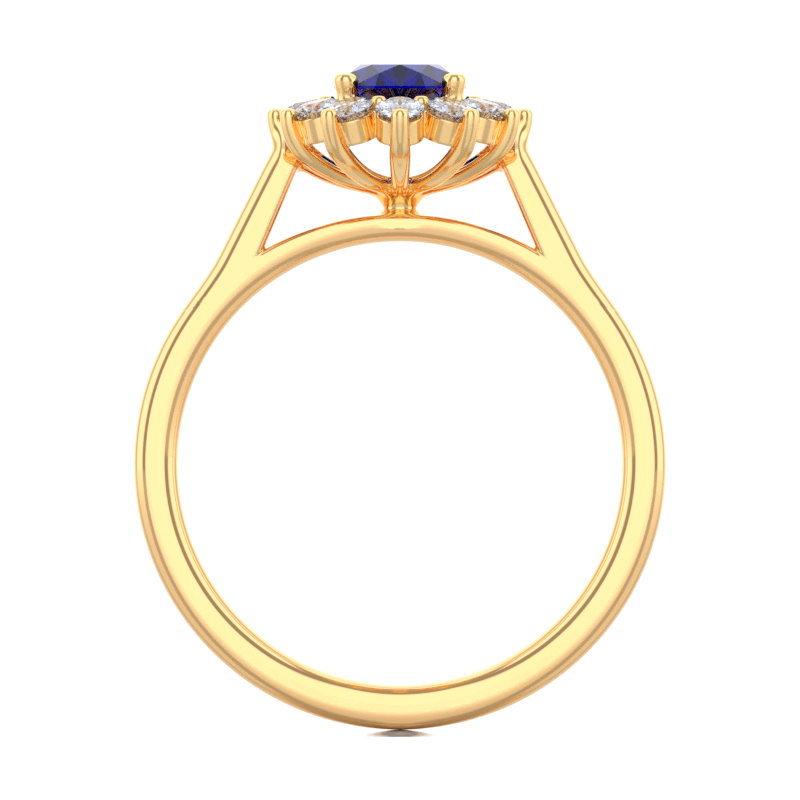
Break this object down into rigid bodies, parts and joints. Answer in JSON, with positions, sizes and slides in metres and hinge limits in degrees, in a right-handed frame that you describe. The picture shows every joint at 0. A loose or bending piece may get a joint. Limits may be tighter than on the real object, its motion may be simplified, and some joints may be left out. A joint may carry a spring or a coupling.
{
  "type": "engagement ring",
  "caption": "Oval cluster engagement ring: a cathedral band in yellow gold carries an open basket head with a blue oval centre stone inside a halo of tilted round brilliants.",
  "frame": {"origin": "on the finger axis, at the middle of the finger bore's width", "axes": "+Z from the finger bore to the centre stone, Y along the finger, X across the finger"},
  "size_m": [0.0202, 0.012, 0.0253],
  "materials": {
    "gold_band": "mirror-polished yellow gold",
    "gold_head": "mirror-polished yellow gold, cast and burnished wires",
    "sapphire": "polished flat facets, saturated royal blue",
    "diamond": "polished flat facets, colourless"
  },
  "bodies": {
    "root": {"base_cup": "gold_head", "bridge": "gold_band", "centre_claw_01": "gold_head", "centre_claw_02": "gold_head", "centre_claw_03": "gold_head", "centre_claw_04": "gold_head", "collet_01": "gold_head", "collet_02": "gold_head", "collet_03": "gold_head", "collet_04": "gold_head", "collet_05": "gold_head", "collet_06": "gold_head", "collet_07": "gold_head", "collet_08": "gold_head", "collet_09": "gold_head", "collet_10": "gold_head", "collet_11": "gold_head", "collet_12": "gold_head", "diamond_01": "diamond", "diamond_02": "diamond", "diamond_03": "diamond", "diamond_04": "diamond", "diamond_05": "diamond", "diamond_06": "diamond", "diamond_07": "diamond", "diamond_08": "diamond", "diamond_09": "diamond", "diamond_10": "diamond", "diamond_11": "diamond", "diamond_12": "diamond", "outer_claw_01": "gold_head", "outer_claw_02": "gold_head", "outer_claw_03": "gold_head", "outer_claw_04": "gold_head", "outer_claw_05": "gold_head", "outer_claw_06": "gold_head", "outer_claw_07": "gold_head", "outer_claw_08": "gold_head", "outer_claw_09": "gold_head", "outer_claw_10": "gold_head", "outer_claw_11": "gold_head", "outer_claw_12": "gold_head", "sapphire": "sapphire", "seat_rail": "gold_head", "shank": "gold_band", "shared_bead_01": "gold_head", "shared_bead_02": "gold_head", "shared_bead_03": "gold_head", "shared_bead_04": "gold_head", "shared_bead_05": "gold_head", "shared_bead_06": "gold_head", "shared_bead_07": "gold_head", "shared_bead_08": "gold_head", "shoulder_left": "gold_band", "shoulder_right": "gold_band"}
  },
  "joints": []
}
